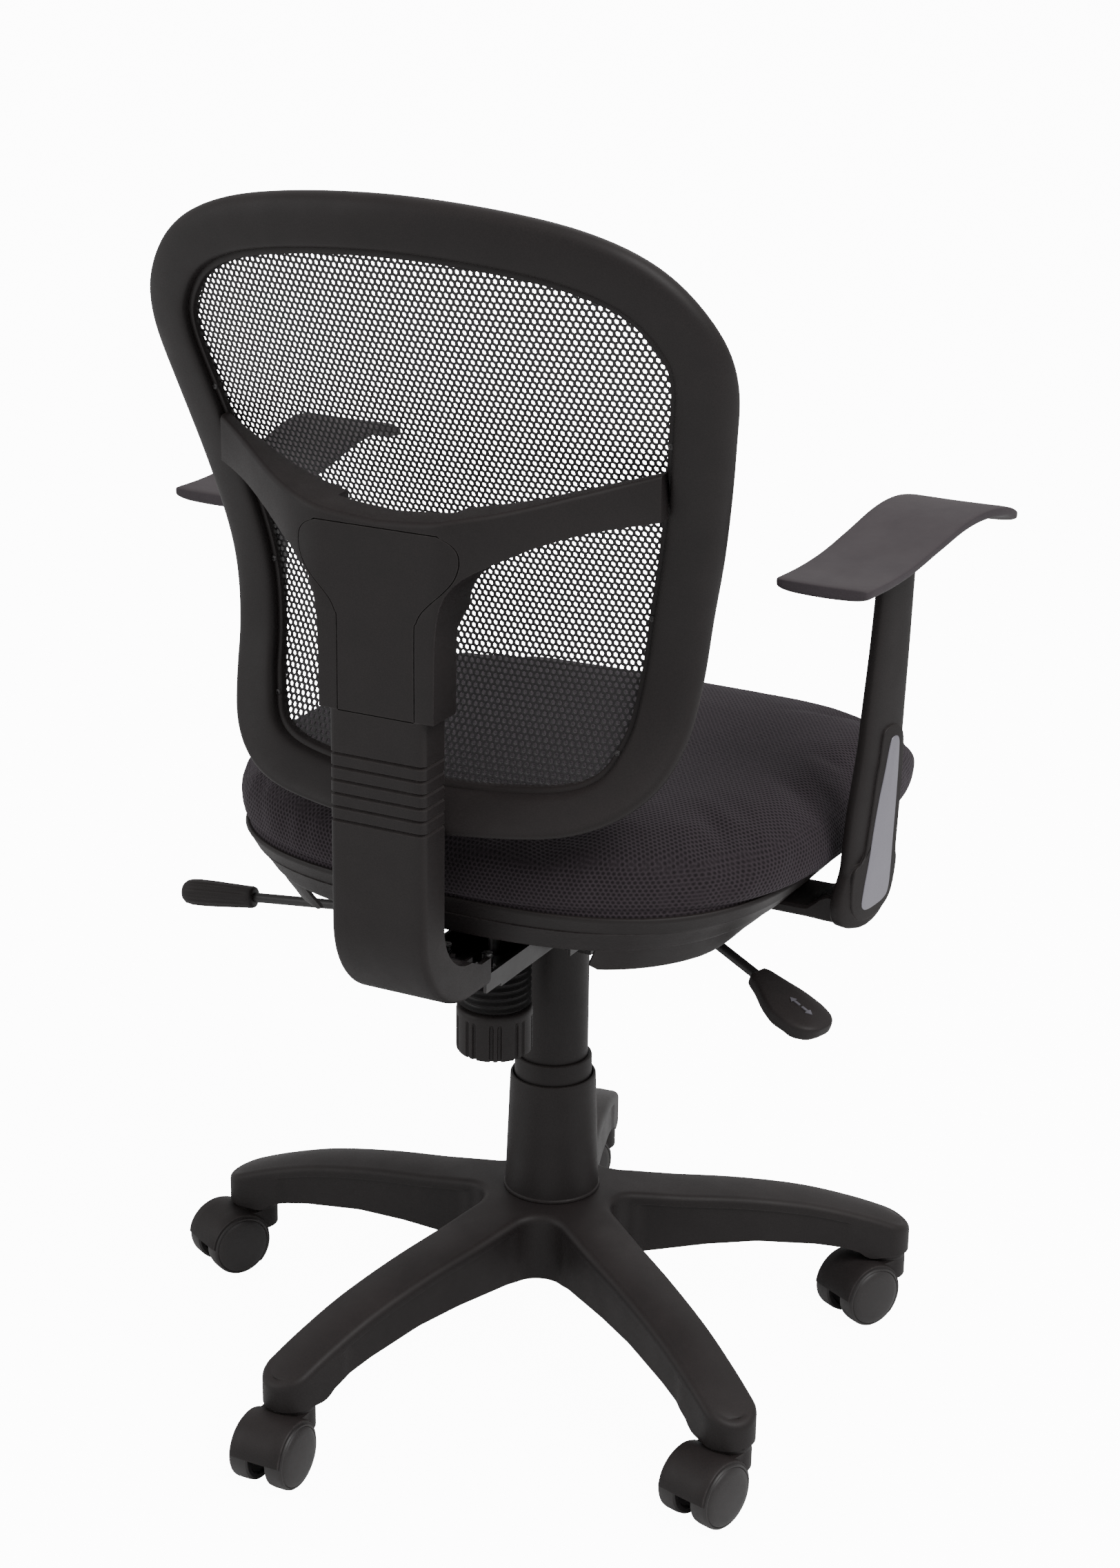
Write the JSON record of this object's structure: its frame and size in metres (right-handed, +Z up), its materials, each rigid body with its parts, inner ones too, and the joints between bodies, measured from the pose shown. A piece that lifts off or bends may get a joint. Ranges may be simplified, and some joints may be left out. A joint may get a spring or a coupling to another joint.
{
  "type": "swivel office chair",
  "caption": "Swivel office chair with a stretched mesh back, a padded seat, T arms, a gas lift and a five-armed base on twin-wheel casters",
  "frame": {"origin": "on the floor, at the axis of the gas lift column", "axes": "+Z is up, the sitter faces -Y, and +X is at the sitter's left hand"},
  "size_m": [0.6202, 0.5991, 0.9455],
  "materials": {
    "plastic": "near-black moulded plastic with a fine pebbled grain",
    "pad": "soft near-black moulded pad with a fine grain",
    "silver_plastic": "satin silver-grey plastic",
    "wheel": "smooth black nylon",
    "bush": "natural moulded acetal",
    "rubber": "black rubber",
    "fabric": "black woven upholstery fabric over foam",
    "mesh": "black open knitted mesh",
    "board": "raw plywood",
    "black_steel": "black powder coat",
    "steel": "zinc-plated steel"
  },
  "bodies": {
    "base": {"base_star": "plastic", "hub_ring": "steel", "column_tube": "black_steel", "tube_bush": "bush", "cover_lower": "plastic"},
    "spindle": {"piston_rod": "steel", "thrust_bearing": "steel", "rod_clip": "steel"},
    "middle_cover": {"cover_middle": "plastic"},
    "caster_1": {"hood_1": "plastic", "pins_1": "steel"},
    "caster_2": {"hood_2": "plastic", "pins_2": "steel"},
    "caster_3": {"hood_3": "plastic", "pins_3": "steel"},
    "caster_4": {"hood_4": "plastic", "pins_4": "steel"},
    "caster_5": {"hood_5": "plastic", "pins_5": "steel"},
    "rollers_1": {"wheels_1": "wheel"},
    "rollers_2": {"wheels_2": "wheel"},
    "rollers_3": {"wheels_3": "wheel"},
    "rollers_4": {"wheels_4": "wheel"},
    "rollers_5": {"wheels_5": "wheel"},
    "carriage": {"gas_cylinder": "black_steel", "cover_upper": "plastic", "tilt_housing": "black_steel", "seat_plate": "black_steel", "pivot_pin": "steel", "tension_bolt": "steel", "tension_spring": "steel", "bellows": "rubber", "seat_pan": "plastic", "seat_board": "board", "seat_cushion": "fabric", "seat_bolts": "steel", "arm_right": "plastic", "arm_left": "plastic", "arm_pad_right": "pad", "arm_pad_left": "pad", "arm_insert_right": "silver_plastic", "arm_insert_left": "silver_plastic", "arm_bolts": "steel", "lever_collar": "bush"},
    "knob": {"tension_knob": "plastic"},
    "right_lever": {"lift_lever": "black_steel", "lift_paddle": "plastic"},
    "left_lever": {"tilt_lever": "black_steel", "tilt_grip": "plastic"},
    "back": {"back_bar": "black_steel", "pivot_bushes": "bush", "bar_bolts": "steel", "spine_cover": "plastic", "spine_liner": "plastic", "back_yoke": "plastic", "back_frame": "plastic", "mesh_ring": "plastic", "back_mesh": "mesh", "frame_screws": "steel"}
  },
  "joints": [
    {"name": "swivel", "type": "hinge", "parent": "base", "child": "spindle", "pos_m": [0, 0, 0.07], "axis": [0, 0, 1], "continuous": true},
    {"name": "lift", "type": "slide", "parent": "spindle", "child": "carriage", "axis": [0, 0, 1], "range_m": [-0.095, 0]},
    {"name": "cover_slide", "type": "slide", "parent": "base", "child": "middle_cover", "axis": [0, 0, 1], "range_m": [-0.0145, 0]},
    {"name": "caster_swivel_1", "type": "hinge", "parent": "base", "child": "caster_1", "pos_m": [0.27592, 0.00674, 0.07], "axis": [0, 0, 1], "continuous": true},
    {"name": "wheel_spin_1", "type": "hinge", "parent": "caster_1", "child": "rollers_1", "pos_m": [0.28789, 0.02926, 0.0255], "axis": [-0.8829, 0.4695, 0], "continuous": true},
    {"name": "caster_swivel_2", "type": "hinge", "parent": "base", "child": "caster_2", "pos_m": [0.07885, 0.2645, 0.07], "axis": [0, 0, 1], "continuous": true},
    {"name": "wheel_spin_2", "type": "hinge", "parent": "caster_2", "child": "rollers_2", "pos_m": [0.07885, 0.29, 0.0255], "axis": [-1, 0, 0], "continuous": true},
    {"name": "caster_swivel_3", "type": "hinge", "parent": "base", "child": "caster_3", "pos_m": [-0.22719, 0.15673, 0.07], "axis": [0, 0, 1], "continuous": true},
    {"name": "wheel_spin_3", "type": "hinge", "parent": "caster_3", "child": "rollers_3", "pos_m": [-0.22059, 0.18136, 0.0255], "axis": [-0.9659, 0.2588, 0], "continuous": true},
    {"name": "caster_swivel_4", "type": "hinge", "parent": "base", "child": "caster_4", "pos_m": [-0.21926, -0.16764, 0.07], "axis": [0, 0, 1], "continuous": true},
    {"name": "wheel_spin_4", "type": "hinge", "parent": "caster_4", "child": "rollers_4", "pos_m": [-0.20729, -0.14512, 0.0255], "axis": [-0.8829, 0.4695, 0], "continuous": true},
    {"name": "caster_swivel_5", "type": "hinge", "parent": "base", "child": "caster_5", "pos_m": [0.09168, -0.26033, 0.07], "axis": [0, 0, 1], "continuous": true},
    {"name": "wheel_spin_5", "type": "hinge", "parent": "caster_5", "child": "rollers_5", "pos_m": [0.1004, -0.23637, 0.0255], "axis": [-0.9397, 0.342, 0], "continuous": true},
    {"name": "back_recline", "type": "hinge", "parent": "carriage", "child": "back", "pos_m": [0, 0.04, 0.375], "axis": [-1, 0, 0], "range_deg": [0, 15], "stiffness_Nm_per_rad": 60, "springref_deg": -20.05, "deforming": ["bellows", "tension_spring"]},
    {"name": "knob_turn", "type": "hinge", "parent": "carriage", "child": "knob", "pos_m": [0, 0.097, 0.3], "axis": [0, 0, 1], "continuous": true},
    {"name": "lever_lift", "type": "hinge", "parent": "carriage", "child": "right_lever", "pos_m": [-0.046, -0.033, 0.394], "axis": [0.2957, 0.9553, 0], "range_deg": [0, 6], "stiffness_Nm_per_rad": 8, "springref_deg": -8.59},
    {"name": "lever_tilt", "type": "hinge", "parent": "carriage", "child": "left_lever", "pos_m": [0.046, 0.0285, 0.361], "axis": [0.1011, -0.9949, 0], "range_deg": [0, 8]}
  ],
  "couplings": [
    {"joint": "cover_slide", "follows": "lift", "ratio": 0.15}
  ]
}
